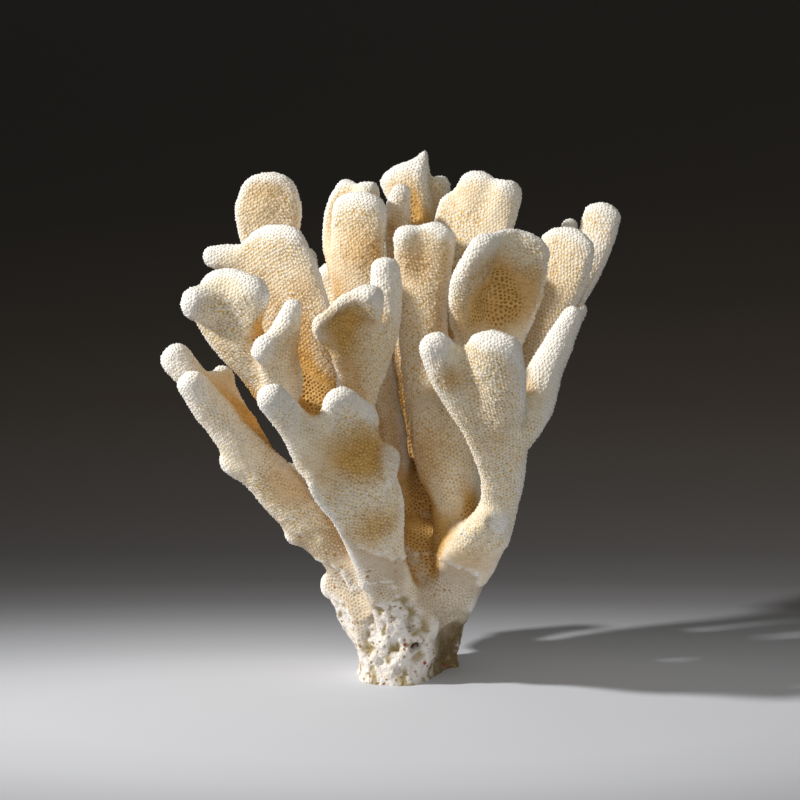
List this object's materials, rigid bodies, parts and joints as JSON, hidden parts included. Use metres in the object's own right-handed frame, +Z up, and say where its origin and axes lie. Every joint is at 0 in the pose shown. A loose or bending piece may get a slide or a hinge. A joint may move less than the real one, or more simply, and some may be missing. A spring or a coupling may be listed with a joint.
{
  "type": "cats paw coral skeleton",
  "caption": "Bleached branching coral skeleton, a thick foot cut flat that fans out into rounded, finger-tipped paddles with a pitted skin.",
  "frame": {"origin": "middle of the flat cut under the foot, on the surface that the coral stands on", "axes": "+Z up along the coral's height, +X to the right in the picture, +Y away from the camera, towards the back"},
  "size_m": [0.1879, 0.1652, 0.2089],
  "materials": {
    "reef_rock": "rough, pitted, pale grey with brown stains",
    "coral_skeleton": "matt, covered in tiny cups, cream with honey in the hollows and white tips"
  },
  "bodies": {
    "root": {"trunk": "reef_rock", "front_left_hand": "coral_skeleton", "front_right_hand": "coral_skeleton", "left_outer_fork": "coral_skeleton", "left_twin_paddles": "coral_skeleton", "left_back_lobe": "coral_skeleton", "centre_front_paw": "coral_skeleton", "centre_twin_paddles": "coral_skeleton", "upper_centre_lobe": "coral_skeleton", "top_crest": "coral_skeleton", "upper_right_paddle": "coral_skeleton", "right_outer_lobes": "coral_skeleton", "back_centre_hand": "coral_skeleton", "back_right_hand": "coral_skeleton", "low_back_left": "coral_skeleton", "low_back_right": "coral_skeleton"}
  },
  "joints": []
}
